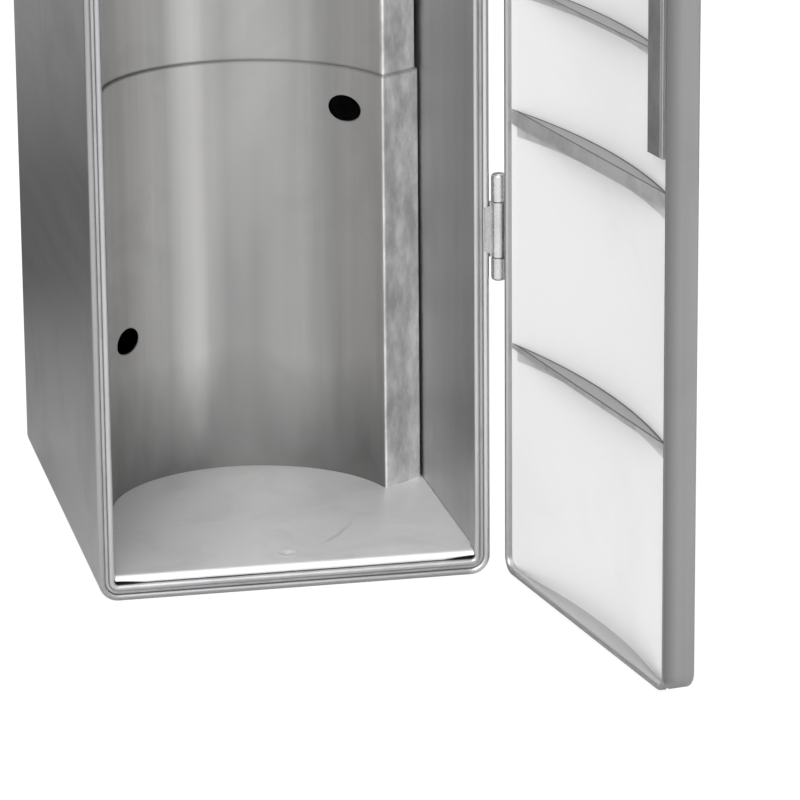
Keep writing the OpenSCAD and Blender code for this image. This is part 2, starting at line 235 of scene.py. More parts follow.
def stations(width, height, radius, steps=14):
    """Corner centres and outward directions along a rounded rectangle."""
    found = []
    for quarter in range(4):
        cx = (width / 2 - radius) * (1 if quarter in (0, 3) else -1)
        cz = (height / 2 - radius) * (1 if quarter in (0, 1) else -1)
        for x, z in arc(0, 0, 1, 90 * quarter, 90 * quarter + 90, steps):
            found.append((cx, cz, x, z))
    return found


def run_round(width, height, radius, section, place, steps=14):
    """Rings of a section, given as inset and depth, run round a rounded rectangle."""
    return [[place(cx + (radius - inset) * dx, deep, cz + (radius - inset) * dz)
            for inset, deep in section] for cx, cz, dx, dz in stations(width, height, radius, steps)]


def cabinet_place(x, deep, z):
    """A point given by its depth behind the front and its height from the middle."""
    return Vector((x, FRONT + deep, MID_Z + z))


def door_place(x, out, z):
    """The same on the open door, by its distance in front of the shut door's lip."""
    gap = bpy.context.scene.door_sizes.gap
    return ON_DOOR @ Vector((x, FRONT - gap - out, MID_Z + z))


def hem(thick, steps=12):
    """The rolled front of a hem, as inset and depth."""
    return arc(thick / 2, thick / 2, thick / 2, 180, 360, steps)


def turned(name, profile, place, steps=48):
    """A closed lathe piece from radius and height pairs that start and end on the axis."""
    rings = [[place(r * math.cos(a), r * math.sin(a), h) for r, h in profile]
             for a in (2 * math.pi * k / steps for k in range(steps))]
    verts, faces = loft(rings)
    faces = [f for f in faces if f[1] - f[0] == 1]
    return piece(name, verts, faces)


def block(name, low, high, place):
    """A box between two corners, as a tool for cutting or joining."""
    verts = [place(x, y, z) for x in (low[0], high[0]) for y in (low[1], high[1])
             for z in (low[2], high[2])]
    faces = [(0, 1, 3, 2), (4, 6, 7, 5), (0, 4, 5, 1), (2, 3, 7, 6), (0, 2, 6, 4), (1, 5, 7, 3)]
    return piece(name, verts, faces)


def prism(name, outline, low, high, place):
    """An outline in two directions drawn up between two levels of the third."""
    return piece(name, *loft([[place(a, b, level) for a, b in outline] for level in (low, high)],
                             closed=False))


def apply_modifiers(made):
    """Makes the result of the modifiers the piece's own mesh."""
    graph = bpy.context.evaluated_depsgraph_get()
    mesh = bpy.data.meshes.new_from_object(made.evaluated_get(graph))
    made.modifiers.clear()
    made.data = mesh
    return made


def combine(made, tools, operation="DIFFERENCE"):
    """Cuts the tools from a piece, or joins them to it, and removes them."""
    for tool in tools:
        cut = made.modifiers.new("cut", "BOOLEAN")
        cut.operation, cut.solver, cut.object = operation, "EXACT", tool
    apply_modifiers(made)
    for tool in tools:
        bpy.data.objects.remove(tool)
    return made


def soften(made, width, steps=2):
    """Rounds the hard edges of a flat piece by a small width."""
    bevel = made.modifiers.new("edge", "BEVEL")
    bevel.width, bevel.segments, bevel.limit_method = width, steps, "ANGLE"
    bevel.angle_limit = SHARP
    return apply_modifiers(made)


def finish(made, body, nodes, material):
    """Shades a piece, gives it its finish and hangs it on its body in place of its nodes."""
    mesh = made.data
    mesh.shade_smooth()
    mesh.set_sharp_from_angle(angle=SHARP)
    mesh.materials.clear()
    mesh.materials.append(material)
    for face in mesh.polygons:
        face.material_index = 0
    weighted = made.modifiers.new("flat faces stay flat", "WEIGHTED_NORMAL")
    weighted.keep_sharp, weighted.weight = True, 90
    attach(made, body)
    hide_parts(*nodes)
    return made


# ---------------------------------------------------------------- finishes

def shader_group(name, inputs, outputs):
    """A new shader group with float or vector inputs and float outputs."""
    tree = bpy.data.node_groups.new(name, "ShaderNodeTree")
    for label, value in inputs:
        kind = "NodeSocketVector" if value is None else "NodeSocketFloat"
        made = tree.interface.new_socket(label, in_out="INPUT", socket_type=kind)
        if value is not None:
            made.default_value = value
    for label in outputs:
        tree.interface.new_socket(label, in_out="OUTPUT", socket_type="NodeSocketFloat")
    return tree, tree.nodes.new("NodeGroupInput"), tree.nodes.new("NodeGroupOutput")


def feed(tree, socket, value):
    """Links another socket to an input, or sets its value."""
    if hasattr(value, "is_output"):
        tree.links.new(value, socket)
    else:
        socket.default_value = value


def maths(tree, operation, a, b=None):
    """A maths node; each side is a socket or a number."""
    node = tree.nodes.new("ShaderNodeMath")
    node.operation = operation
    for side, value in enumerate((a, b)):
        if value is not None:
            feed(tree, node.inputs[side], value)
    return node.outputs[0]


def times(tree, a, b):
    """The product of two sockets or numbers."""
    return maths(tree, "MULTIPLY", a, b)


def noise(tree, vector, scale, detail=2.0, rough=0.5, distortion=0.0):
    """A noise value; scale is a socket or a number."""
    node = tree.nodes.new("ShaderNodeTexNoise")
    tree.links.new(vector, node.inputs["Vector"])
    feed(tree, node.inputs["Scale"], scale)
    node.inputs["Detail"].default_value = detail
    node.inputs["Roughness"].default_value = rough
    node.inputs["Distortion"].default_value = distortion
    return node.outputs[0]


def spread(tree, value, low, high, out_low=0.0, out_high=1.0):
    """Maps a value from one range to another, clamped."""
    node = tree.nodes.new("ShaderNodeMapRange")
    tree.links.new(value, node.inputs[0])
    for index, number in enumerate((low, high, out_low, out_high), start=1):
        feed(tree, node.inputs[index], number)
    return node.outputs[0]


def fade(tree, value, full, none):
    """1 up to one value, falling to 0 at a higher one."""
    return spread(tree, value, full, none, 1.0, 0.0)


def band(tree, value, start, full, fading, end):
    """1 between two values, falling to 0 outside them."""
    return maths(tree, "MINIMUM", spread(tree, value, start, full), fade(tree, value, fading, end))


def grain_group():
    """Brushing lines: the vector comes in stretched along the brushing direction."""
    if "brushed_grain" in bpy.data.node_groups:
        return bpy.data.node_groups["brushed_grain"]
    tree, given, out = shader_group("brushed_grain", [("Vector", None)], ["Tone", "Height"])
    fine = noise(tree, given.outputs["Vector"], 90.0, 3.0, 0.6)
    wide = noise(tree, given.outputs["Vector"], 16.0, 3.0, 0.55)
    both = maths(tree, "ADD", times(tree, fine, 0.45), times(tree, wide, 0.55))
    tree.links.new(spread(tree, both, 0.3, 0.7), out.inputs["Tone"])
    tree.links.new(both, out.inputs["Height"])
    return tree


def smudge_group():
    """Soft cloudy marks left by handling."""
    if "handling_smudges" in bpy.data.node_groups:
        return bpy.data.node_groups["handling_smudges"]
    tree, given, out = shader_group("handling_smudges",
                                    [("Vector", None), ("Scale", 12.0), ("Cover", 0.5)], ["Mask"])
    cloud = noise(tree, given.outputs["Vector"], given.outputs["Scale"], 4.0, 0.6, 0.6)
    edge = maths(tree, "SUBTRACT", 0.75, times(tree, given.outputs["Cover"], 0.5))
    mask = spread(tree, cloud, edge, maths(tree, "ADD", edge, 0.28))
    tree.links.new(mask, out.inputs["Mask"])
    return tree


def use_group(tree, group, vector, **values):
    """Places a group in a material with its own values."""
    node = tree.nodes.new("ShaderNodeGroup")
    node.node_tree = group
    tree.links.new(vector, node.inputs["Vector"])
    for label, value in values.items():
        node.inputs[label].default_value = value
    return node


def mapped(tree, scale=(1, 1, 1), move=(0, 0, 0), turn=(0, 0, 0)):
    """Object coordinates, moved, turned and stretched."""
    place = tree.nodes.new("ShaderNodeTexCoord")
    node = tree.nodes.new("ShaderNodeMapping")
    tree.links.new(place.outputs["Object"], node.inputs["Vector"])
    node.inputs["Location"].default_value = move
    node.inputs["Rotation"].default_value = turn
    node.inputs["Scale"].default_value = scale
    return node.outputs["Vector"]


def mix_colour(tree, factor, a, b):
    """A colour between two, each a socket or three numbers."""
    node = tree.nodes.new("ShaderNodeMix")
    node.data_type = "RGBA"
    tree.links.new(factor, node.inputs["Factor"])
    for label, value in (("A", a), ("B", b)):
        socket = [s for s in node.inputs if s.name == label and s.type == "RGBA"][0]
        feed(tree, socket, value if hasattr(value, "is_output") else (*value, 1))
    return [s for s in node.outputs if s.type == "RGBA"][0]


def new_material(name, metallic, roughness=0.4):
    """A material with its principled shader, and its tree."""
    made = bpy.data.materials.new(name)
    made.use_nodes = True
    shader = made.node_tree.nodes["Principled BSDF"]
    shader.inputs["Metallic"].default_value = metallic
    shader.inputs["Roughness"].default_value = roughness
    return made, made.node_tree, shader


def add_bump(tree, shader, height, distance, under=None):
    """Feeds a height in metres times distance to the shader's normal."""
    node = tree.nodes.new("ShaderNodeBump")
    node.inputs["Distance"].default_value = distance
    node.inputs["Strength"].default_value = 1.0
    tree.links.new(height, node.inputs["Height"])
    if under is not None:
        tree.links.new(under, node.inputs["Normal"])
    tree.links.new(node.outputs["Normal"], shader.inputs["Normal"])
    return node.outputs["Normal"]


def darker(base, factor):
    """A colour scaled by a factor."""
    return tuple(c * factor for c in base)


def brushed(name, base, stretch, rough=(0.28, 0.42), depth=0.00012, contrast=0.18,
            smudge=0.25, buckle=0.0, turn=(0, 0, 0), metallic=1.0, tone=None):
    """Brushed steel, its lines running where stretch is small."""
    made, tree, shader = new_material(name, metallic)
    grain = use_group(tree, grain_group(), mapped(tree, stretch, turn=turn))
    marks = use_group(tree, smudge_group(), mapped(tree), Scale=14.0, Cover=0.5)
    wear = bpy.context.scene.finish_look.wear
    toned = mix_colour(tree, grain.outputs["Tone"], darker(base, 1 - contrast),
                       darker(base, 1 + contrast * 0.6))
    dull = times(tree, marks.outputs["Mask"], smudge * wear * 2)
    shade = mix_colour(tree, dull, toned, darker(base, 0.62))
    if tone:
        shade = tone(tree, shade, base)
    tree.links.new(shade, shader.inputs["Base Color"])
    roughness = spread(tree, grain.outputs["Tone"], 0.0, 1.0, *rough)
    tree.links.new(maths(tree, "ADD", roughness, times(tree, marks.outputs["Mask"], 0.08)),
                   shader.inputs["Roughness"])
    under = None
    if buckle:
        wave = noise(tree, mapped(tree, tuple(0.35 if s == min(stretch) else 1.0 for s in stretch)),
                     13.0, 1.0, 0.4)
        under = add_bump(tree, shader, wave, buckle)
    add_bump(tree, shader, grain.outputs["Height"], depth, under=under)
    return made


def split(tree, vector):
    """The three parts of a vector."""
    node = tree.nodes.new("ShaderNodeSeparateXYZ")
    tree.links.new(vector, node.inputs[0])
    return node.outputs


def cradle_tone(tree, shade, base):
    """Darker towards the floor, with painted shade in the middle, a painted highlight streak, a
    painted shadow under the seam and a painted highlight on the mottled flange.
    """
    place = split(tree, mapped(tree))
    drift = times(tree, noise(tree, mapped(tree, (1, 1, 0.4)), 26.0, 3.0, 0.6), 0.06)
    low = fade(tree, maths(tree, "SUBTRACT", place["Z"], drift), -0.018, 0.05)
    # Painted highlight on the flange, broken into mottled patches
    patches = spread(tree, noise(tree, mapped(tree, (1, 1, 0.5)), 95.0, 4.0, 0.65), 0.36, 0.66)
    flange = spread(tree, place["X"], 0.0694, 0.0702)
    pale = mix_colour(tree, patches, darker(base, 1.05), darker(base, 1.7))
    uneven = spread(tree, noise(tree, mapped(tree, (1, 1, 0.3)), 20.0, 2.0), 0.3, 0.6, 0.55, 1.0)
    # Painted shade in a band down the middle, and a painted highlight streak left of it
    middle = band(tree, place["X"], -0.016, -0.003, 0.012, 0.042)
    streak = band(tree, place["X"], -0.036, -0.027, -0.020, -0.013)
    painted_streak = mix_colour(tree, times(tree, streak, uneven), shade, darker(base, 1.25))
    painted_shade = mix_colour(tree, times(tree, middle, uneven), painted_streak, darker(base, 0.6))
    wide = mix_colour(tree, flange, painted_shade, pale)
    # Painted shadow line under the lower seam, darkest on the left
    above = maths(tree, "ABSOLUTE",
                  maths(tree, "SUBTRACT", place["Z"], bpy.context.scene.cradle_sizes.seam))
    seam = times(tree, fade(tree, above, 0.0004, 0.0013),
                 spread(tree, place["X"], -0.07, 0.04, 0.85, 0.4))
    lined = mix_colour(tree, seam, wide, darker(base, 0.3))
    return mix_colour(tree, times(tree, low, fade(tree, flange, 0.0, 1.0)), lined,
                      darker(base, 0.4))


def shell_tone(tree, shade, base):
    """A painted highlight along the front edge, brightest on the hinge side."""
    spot = split(tree, mapped(tree))
    # Painted highlight along the front edge, stronger on the hinge side
    edge = fade(tree, spot["Y"], FRONT + 0.0012, FRONT + 0.0032)
    hinged = spread(tree, spot["X"], WIDTH / 2 - 0.012, WIDTH / 2 - 0.008)
    return mix_colour(tree, edge, shade,
                      mix_colour(tree, hinged, darker(base, 1.3), darker(base, 2.1)))


def shut_place(tree):
    """Object coordinates of the open door's pieces, turned back to the shut door."""
    node = tree.nodes.new("ShaderNodeVectorRotate")
    node.rotation_type = "Z_AXIS"
    place = tree.nodes.new("ShaderNodeTexCoord")
    tree.links.new(place.outputs["Object"], node.inputs["Vector"])
    node.inputs["Center"].default_value = HINGE
    node.inputs["Angle"].default_value = -OPEN_ANGLE
    return split(tree, node.outputs[0]), split(tree, place.outputs["Normal"])["Z"]


def rib_tone(tree, shade, base):
    """Painted shade: darker top and bottom faces, with dark lines where a rib meets its panel and
    along the flange's fold.
    """
    s = bpy.context.scene.door_sizes
    spot, up = shut_place(tree)
    radius, centre = bow_circle(s)
    deep = maths(tree, "SUBTRACT", spot["Y"], FRONT - centre)
    away = maths(tree, "SQRT", maths(tree, "ADD", times(tree, deep, deep),
                                     times(tree, spot["X"], spot["X"])))
    corner = spread(tree, away, radius - 0.0016, radius - 0.0004)
    out = maths(tree, "SUBTRACT", FRONT, spot["Y"])
    fold = fade(tree, out, s.gap + s.rim + 0.0005, s.gap + s.rim + 0.0013)
    flat = spread(tree, maths(tree, "ABSOLUTE", up), 0.5, 0.8)
    lines = maths(tree, "MAXIMUM", corner, fold)
    # Painted shade on the top and bottom faces, and painted shadow lines in the corners
    shade = mix_colour(tree, flat, shade, darker(base, 0.66))
    return mix_colour(tree, times(tree, lines, flat), shade, darker(base, 0.16))


def channel_tone(tree, shade, base):
    """A painted highlight on the bead beside the door's free edge."""
    spot, _ = shut_place(tree)
    bead = fade(tree, spot["X"], CHANNEL_X[0] + 0.0020, CHANNEL_X[0] + 0.0024)
    # Painted highlight on the bead
    return mix_colour(tree, bead, shade, darker(base, 1.45))


def door_tone(tree, shade, base):
    """Painted shade on the free lip, a painted highlight on the hinge-side rim and painted light on
    the inner faces of the bottom and top walls.
    """
    spot, up = shut_place(tree)
    out = maths(tree, "SUBTRACT", FRONT - DOOR_GAP, spot["Y"])
    side = fade(tree, spot["X"], -WIDTH / 2 + 0.0005, -WIDTH / 2 + 0.0013)
    lip = times(tree, side, fade(tree, out, 0.0006, 0.0072))
    # Painted shade on the free lip
    painted_shade = mix_colour(tree, lip, shade, darker(base, 0.55))
    hinged = times(tree, spread(tree, spot["X"], WIDTH / 2 - 0.0048, WIDTH / 2 - 0.0042),
                   fade(tree, out, 0.0030, 0.0038))
    # Painted highlight on the hinge-side rim
    rimmed = mix_colour(tree, hinged, painted_shade, darker(base, 1.55))
    # Painted light on the inner faces of the bottom and top walls
    level = maths(tree, "SUBTRACT", MID_Z, spot["Z"])
    ends = maths(tree, "ABSOLUTE", level)
    inside = times(tree, spread(tree, ends, HEIGHT / 2 - 0.012, HEIGHT / 2 - 0.0105),
                   spread(tree, times(tree, up, level), 0.05, 0.2))
    return mix_colour(tree, inside, rimmed, darker(base, 2.3))


ALONG_Z = (1.0, 1.0, 0.03)
ALONG_Y = (1.0, 0.03, 1.0)


def satin_floor(name, base):
    """Satin steel with a round scuff, soft clouds, painted light brighter to the right and a painted
    highlight on the nose.
    """
    made, tree, shader = new_material(name, 0.4)
    clouds = use_group(tree, smudge_group(), mapped(tree), Scale=22.0, Cover=0.6)
    specks = noise(tree, mapped(tree), 420.0, 3.0, 0.6)
    ring = tree.nodes.new("ShaderNodeVectorMath")
    ring.operation = "LENGTH"
    tree.links.new(mapped(tree, move=(0.008, 0.062, -0.0125)), ring.inputs[0])
    wobble = maths(tree, "ADD", ring.outputs["Value"],
                   times(tree, noise(tree, mapped(tree), 30.0, 2.0), 0.012))
    line = maths(tree, "ABSOLUTE", maths(tree, "SUBTRACT", wobble, 0.056))
    scuff = fade(tree, line, 0.0, 0.0016)
    spot = split(tree, mapped(tree))
    window = times(tree, spread(tree, spot["X"], 0.012, 0.026),
                   spread(tree, spot["Y"], -0.064, -0.074))
    patchy = times(tree, times(tree, scuff, window),
                   spread(tree, noise(tree, mapped(tree), 60.0, 3.0), 0.35, 0.6))
    # Painted light: darker on the left, brighter on the right
    drift = spread(tree, spot["X"], -0.10, 0.11)
    clean = mix_colour(tree, drift, darker(base, 0.84), darker(base, 1.25))
    cloudy = mix_colour(tree, drift, darker(base, 0.72), darker(base, 1.12))
    toned = mix_colour(tree, clouds.outputs["Mask"], clean, cloudy)
    scuffed = mix_colour(tree, times(tree, patchy, 0.45), toned, darker(base, 0.5))
    # Painted highlight on the rolled nose
    nose = fade(tree, spot["Y"], FRONT + 0.0028, FRONT + 0.0048)
    tree.links.new(mix_colour(tree, nose, scuffed, (0.97, 0.97, 0.97)), shader.inputs["Base Color"])
    tree.links.new(spread(tree, specks, 0.3, 0.7, 0.42, 0.52), shader.inputs["Roughness"])
    add_bump(tree, shader, specks, 0.00003)
    return made


def matte_white(name, base):
    """Matte white panel with a very faint mottling."""
    made, tree, shader = new_material(name, 0.0, 0.55)
    clouds = use_group(tree, smudge_group(), mapped(tree), Scale=9.0, Cover=0.5)
    specks = noise(tree, mapped(tree), 700.0, 3.0, 0.6)
    tree.links.new(mix_colour(tree, clouds.outputs["Mask"], base, darker(base, 0.95)),
                   shader.inputs["Base Color"])
    tree.links.new(spread(tree, specks, 0.3, 0.7, 0.5, 0.62), shader.inputs["Roughness"])
    add_bump(tree, shader, specks, 0.00002)
    return made


def dull_metal(name, base, metallic=1.0, rough=(0.45, 0.6), tone=None):
    """Plain dull metal with fine specks and smudges."""
    made, tree, shader = new_material(name, metallic)
    clouds = use_group(tree, smudge_group(), mapped(tree), Scale=40.0, Cover=0.55)
    specks = noise(tree, mapped(tree), 600.0, 3.0, 0.6)
    shade = mix_colour(tree, clouds.outputs["Mask"], base, darker(base, 0.75))
    tree.links.new(tone(tree, shade, base) if tone else shade, shader.inputs["Base Color"])
    tree.links.new(spread(tree, specks, 0.3, 0.7, *rough), shader.inputs["Roughness"])
    add_bump(tree, shader, specks, 0.00003)
    return made


def finishes():
    """Every finish by name, made once."""
    if "shell" in FINISHES:
        return FINISHES
    look = bpy.context.scene.finish_look
    turn = (0, 0, -OPEN_ANGLE)
    FINISHES.update({"shell": brushed("brushed_shell_steel", look.shell, ALONG_Y, (0.26, 0.36),
                                      buckle=0.0012, tone=shell_tone),
                     "lining": brushed("brushed_lining_steel", look.lining, ALONG_Z, (0.3, 0.42),
                                       buckle=0.0008),
                     "cradle": brushed("cradle_steel", look.cradle, ALONG_Z, (0.42, 0.56),
                                       contrast=0.22, smudge=0.45, buckle=0.006, metallic=0.75,
                                       tone=cradle_tone),
                     "door": brushed("brushed_door_steel", look.shell, ALONG_Z, (0.3, 0.4),
                                     buckle=0.001, turn=turn, tone=door_tone),
                     "floor": satin_floor("satin_floor_steel", look.floor),
                     "white": matte_white("matte_white_panel", look.panel),
                     "rib": dull_metal("rib_steel", look.rib, tone=rib_tone),
                     "strip": dull_metal("pale_strip_steel", darker(look.panel, 0.8), 0.4),
                     # The channel's steel is painted darker than the ribs', as painted shade
                     "channel": dull_metal("channel_steel", darker(look.rib, 0.48),
                                           tone=channel_tone),
                     "hinge": dull_metal("polished_hinge_steel", look.hinge, 1.0, (0.24, 0.34)),
                     "dark": dull_metal("dark_filler", look.dark, 0.3),
                     "chrome": dull_metal("lock_chrome", look.hinge, 1.0, (0.1, 0.18)),})
    return FINISHES


FINISHES = {}


# ---------------------------------------------------------------- operators

class CABINET_OT_shell(bpy.types.Operator):
    """Makes the outer shell with its hemmed front edge"""

    bl_idname = "cabinet.shell"
    bl_label = "Outer shell"

    def execute(self, context):
        s = context.scene.cabinet_sizes
        section = hem(s.hem) + [(s.hem, s.hem_deep), (s.sheet, s.hem_deep), (s.sheet, DEPTH),
                                (0, DEPTH)]
        made = piece("outer_shell_sheet",
                     *loft(run_round(WIDTH, HEIGHT, s.corner, section, cabinet_place)))
        finish(made, "cabinet", ["outer_shell"], finishes()["shell"])
        return {"FINISHED"}


class CABINET_OT_lining(bpy.types.Operator):
    """Makes the inner lining with its hemmed ring and the slot for the lock's cam"""

    bl_idname = "cabinet.lining"
    bl_label = "Lining"

    def execute(self, context):
        s = context.scene.cabinet_sizes
        inset = s.hem + s.groove
        outer = s.wall_inset - s.sheet
        section = [(inset + i, deep) for i, deep in hem(s.ring)]
        section += [(inset + s.ring, s.hem_deep), (s.wall_inset, s.hem_deep),
                    (s.wall_inset, s.lining_deep), (outer, s.lining_deep), (outer, s.hem_deep),
                    (inset, s.hem_deep)]
        made = piece("lining_sheet",
                     *loft(run_round(WIDTH, HEIGHT, s.corner, section, cabinet_place)))
        slot = block("slot", (-WIDTH / 2, SLOT_DEEP[0], SLOT_HIGH[0]),
                     (-WIDTH / 2 + SLOT_CUT, SLOT_DEEP[1], SLOT_HIGH[1]), cabinet_place)
        combine(made, [slot])
        finish(made, "cabinet", ["lining"], finishes()["lining"])
        return {"FINISHED"}


class CABINET_OT_end_plates(bpy.types.Operator):
    """Makes the floor plate and the ceiling plate with their rolled noses"""

    bl_idname = "cabinet.end_plates"
    bl_label = "Floor and ceiling plates"

    def execute(self, context):
        s = context.scene.cabinet_sizes
        for name, node, flip in (("floor_sheet", "floor_plate", False),
                                 ("ceiling_sheet", "ceiling_plate", True)):
            made = piece(name, *end_plate(s, node, flip))
            finish(made, "cabinet", [node], finishes()["floor"])
        return {"FINISHED"}


def end_plate(s, node, flip):
    """Vertices and faces of a plate with a rolled nose and, on the floor, a weld dimple."""
    low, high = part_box(node)
    wide = high.x
    narrow = wide - 0.0012
    relief = 0.015
    step = s.hem_deep + 0.0003
    top, under = s.floor_top, s.floor_top - s.sheet
    nose_deep, nose_high = 0.001 + s.nose, s.floor_top - s.nose
    root = math.degrees(math.asin((under - nose_high) / s.nose))
    ring = arc(nose_deep, nose_high, s.nose, 90, 360 + root, 30)
    back = high.y - FRONT
    xs = [-narrow, -narrow + relief, narrow - relief, narrow]
    rise = s.nose * relief / (relief + 0.001)
    lift = [rise, 0, 0, rise]

    def at(x, deep, z):
        return Vector((x, FRONT + deep, HEIGHT - z if flip else z))

    section = [(step, top), *ring, (step, under)]
    rings = [[at(x, deep, max(z, top - 2 * s.nose + up)) for deep, z in section]
             for x, up in zip(xs, lift)]
    verts, faces = loft(rings, closed=False)
    size = len(section)
    faces = [f for f in faces if not {f[0] % size, f[1] % size} == {0, size - 1} or len(f) > 4]
    # The wide part behind the nose: rows along the front, the dimple's patch and the back
    half, cy = 0.0082, 0.019
    cx = -0.001
    count = 12
    first = len(verts)

    def add(x, deep, z):
        verts.append(at(x, deep, z))
        return len(verts) - 1

    front_row = [-wide, *xs, wide]
    a, b, c, d = cx - half, cx + half, cy - half, cy + half
    patch = []
    side = [i / count for i in range(count)]
    square = ([(a + 2 * half * t, c) for t in side] + [(b, c + 2 * half * t) for t in side]
              + [(b - 2 * half * t, d) for t in side] + [(a, d - 2 * half * t) for t in side])
    edge = [add(x, y, top) for x, y in square]
    south = [edge[i] for i in range(0, count + 1)]
    east = [edge[i] for i in range(count, 2 * count + 1)]
    north = [edge[i] for i in range(2 * count, 3 * count + 1)]
    west = [edge[i % (4 * count)] for i in range(3 * count, 4 * count + 1)]
    front_ids = [add(x, step, top) for x in front_row]
    left_c, right_c = add(-wide, c, top), add(wide, c, top)
    left_d, right_d = add(-wide, d, top), add(wide, d, top)
    left_b, right_b = add(-wide, back, top), add(wide, back, top)
    patch.append((*front_ids, right_c, *reversed(south), left_c))
    patch.append((left_c, south[0], *reversed(west[:-1]), left_d))
    patch.append((south[-1], right_c, right_d, *reversed(east[1:])))
    patch.append((left_d, *reversed(north), right_d, right_b, left_b))
    inner = edge
    for r in (0.0079, 0.0072, 0.0065, 0.0058, 0.0051, 0.0044, 0.0037, 0.0030, 0.0022, 0.0014,
              0.0007):
        sink = s.dimple * (math.exp(-(r / 0.0026) ** 2) - 0.3
                           * math.exp(-((r - 0.0050) / 0.0013) ** 2))
        sink = 0 if flip or r > 0.0078 else sink
        ring_ids = []
        for x, y in square:
            direction = Vector((x - cx, y - cy)).normalized() * r
            ring_ids.append(add(cx + direction.x, cy + direction.y, top - sink))
        patch += [(inner[k], inner[(k + 1) % (4 * count)], ring_ids[(k + 1) % (4 * count)],
                   ring_ids[k]) for k in range(4 * count)]
        inner = ring_ids
    patch.append(tuple(inner))
    under_ids = [add(x, step, under) for x in front_row]
    under_back = [add(wide, back, under), add(-wide, back, under)]
    patch.append((*under_ids, *under_back))
    patch.append((left_b, right_b, under_back[0], under_back[1]))
    patch.append((front_ids[0], left_c, left_d, left_b, under_back[1], under_ids[0]))
    patch.append((front_ids[-1], right_c, right_d, right_b, under_back[0], under_ids[-1]))
    patch.append((front_ids[0], front_ids[1], under_ids[1], under_ids[0]))
    patch.append((front_ids[-2], front_ids[-1], under_ids[-1], under_ids[-2]))
    return verts, faces + patch


def bent_path(segments, radius, fine=0.0012):
    """Points and headings along joined lines and arcs, their corners bent to a radius.
    A line is (start, end); an arc is (centre, radius, first angle, last angle) in radians."""
    def at(seg, distance):
        if len(seg) == 2:
            heading = (seg[1] - seg[0]).normalized()
            return seg[0] + heading * distance, heading
        centre, r, a0, a1 = seg
        sign = 1 if a1 > a0 else -1
        a = a0 + sign * distance / r
        return (centre + Vector((math.cos(a), math.sin(a))) * r,
                Vector((-math.sin(a), math.cos(a))) * sign)

    def total(seg):
        return (seg[1] - seg[0]).length if len(seg) == 2 else abs(seg[3] - seg[2]) * seg[1]

    cuts = []
    for one, two in zip(segments, segments[1:]):
        turn = at(one, total(one))[1].angle(at(two, 0)[1])
        cuts.append(radius * math.tan(turn / 2))
    points = []
    for k, seg in enumerate(segments):
        start = cuts[k - 1] if k else 0.0
        end = total(seg) - (cuts[k] if k < len(cuts) else 0.0)
        steps = 1 if len(seg) == 2 else max(2, int((end - start) / fine))
        points += [at(seg, start + (end - start) * i / steps) for i in range(steps + 1)]
        if k < len(cuts):
            p0, h0 = at(seg, end)
            p2, h2 = at(segments[k + 1], cuts[k])
            p1 = p0 + h0 * cuts[k]
            for i in range(1, 8):
                t = i / 8
                spot = p0 * (1 - t) ** 2 + p1 * 2 * t * (1 - t) + p2 * t * t
                points.append((spot, ((p1 - p0) * (1 - t) + (p2 - p1) * t).normalized()))
    return points


class CABINET_OT_cradle(bpy.types.Operator):
    """Makes the three lapped panels of the half-round cradle with their access holes"""

    bl_idname = "cabinet.cradle"
    bl_label = "Cradle panels"

    def execute(self, context):
        s, wall = context.scene.cradle_sizes, WIDTH / 2 - context.scene.cabinet_sizes.wall_inset
        floor_top = context.scene.cabinet_sizes.floor_top
        runs = (("lower", floor_top, s.seam, 0.0),
                ("middle", s.seam - s.lap, HEIGHT - s.seam + s.lap, s.sheet + 0.0002),
                ("upper", HEIGHT - s.seam, HEIGHT - floor_top, 0.0))
        holes = ((-HOLE_SIDE, HOLE_LOW), (HOLE_SIDE, HOLE_HIGH),
                 (-HOLE_SIDE, HEIGHT - HOLE_LOW), (HOLE_SIDE, HEIGHT - HOLE_HIGH))
        for name, low, high, step in runs:
            path = cradle_path(s, wall, step)
            behind = [p + Vector((-h.y, h.x)) * s.sheet for p, h in reversed(path)]
            section = [p for p, h in path] + behind
            rings = [[Vector((s.axis_x + p.x, FRONT + s.axis_deep + p.y, z)) for p in section]
                     for z in (low, high)]
            made = piece(name + "_cradle_sheet", *sheet_loft(rings))
            tools = [cradle_drill(s, s.axis_x + side, z) for side, z in holes if low < z < high]
            if tools:
                combine(made, tools)
            finish(made, "cabinet", [name + "_cradle"], finishes()["cradle"])
        return {"FINISHED"}


def cradle_drill(s, x, z):
    """A tool for an access hole, drilled back from the cradle's axis."""
    return turned("drill", [(0, 0.0), (s.hole, 0.0), (s.hole, 0.1), (0, 0.1)],
                  lambda a, b, h: Vector((x + a, FRONT + s.axis_deep + h, z + b)), 64)


def cradle_path(s, wall, step):
    """The front face of a cradle panel seen from above, from its left leg to its right leg."""
    flange = math.radians(35.4)
    end_y, leg = 0.0175, 0.014
    u, n = Vector((math.cos(flange), math.sin(flange))), Vector((-math.sin(flange),
                                                                 math.cos(flange)))
    r = s.radius + step
    line = Vector((math.sqrt(s.radius ** 2 - end_y ** 2), end_y)) + n * step
    k = -line.dot(u) + math.sqrt(line.dot(u) ** 2 - line.dot(line) + r * r)
    start = line + u * k
    right, left = wall - s.axis_x - 0.0013 - step, -wall - s.axis_x + step
    end = line + u * ((right - line.x) / u.x)
    a0 = math.atan2(start.y, -start.x)
    return bent_path([
        (Vector((left, start.y + leg)), Vector((left, start.y))),
        (Vector((left, start.y)), Vector((-start.x, start.y))),
        (Vector((0, 0)), r, a0, math.pi - a0),
        (start, end),
        (end, Vector((right, end.y + leg)))], 0.0017)


